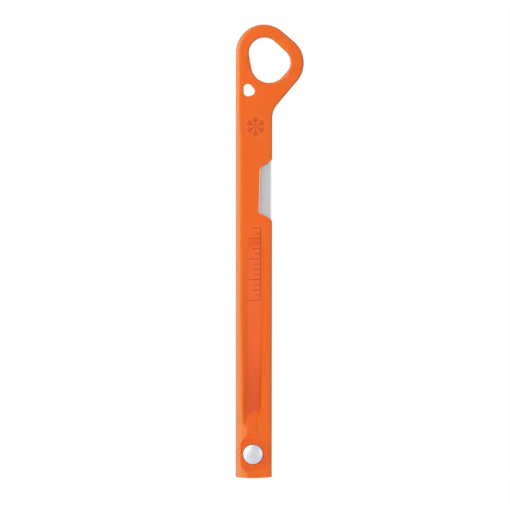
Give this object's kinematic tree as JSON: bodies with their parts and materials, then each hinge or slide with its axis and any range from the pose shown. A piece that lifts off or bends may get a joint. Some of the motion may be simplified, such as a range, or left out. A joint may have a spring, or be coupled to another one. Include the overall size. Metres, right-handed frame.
{
  "type": "folding ice-thread hook",
  "caption": "Slim folding hook for threading cord through ice: a flat steel hook and cutting blade pivots out of a moulded cover with a carabiner eye.",
  "frame": {"origin": "on the pivot axis, at the flat rear end of the pivot rivet; the tool's mid-plane is 4.45 mm in front of it, at Y = -0.00445", "axes": "+Z from the pivot up along the closed tool to the carabiner eye; +X across the tool, from the closed spine to the open mouth that the leaf swings out of; -Y out of the front face; the pivot axis is Y"},
  "size_m": [0.033, 0.0089, 0.22],
  "materials": {
    "orange_nylon": "fine-textured injection moulding, satin",
    "satin_stainless": "tumbled satin, brushed along the leaf",
    "bright_rivet": "bright nickel",
    "washer_bronze": "plain bronze"
  },
  "bodies": {
    "cover_body": {"cover": "orange_nylon", "rivet_front_half": "bright_rivet", "rivet_rear_half": "bright_rivet", "pivot_bush": "satin_stainless", "washer_front": "washer_bronze", "washer_rear": "washer_bronze"},
    "hook_body": {"hook_blade": "satin_stainless"}
  },
  "joints": [
    {"name": "hook_hinge", "type": "hinge", "parent": "cover_body", "child": "hook_body", "pos_m": [0, -0.00445, 0], "axis": [0, 1, 0], "range_deg": [0, 180]}
  ]
}
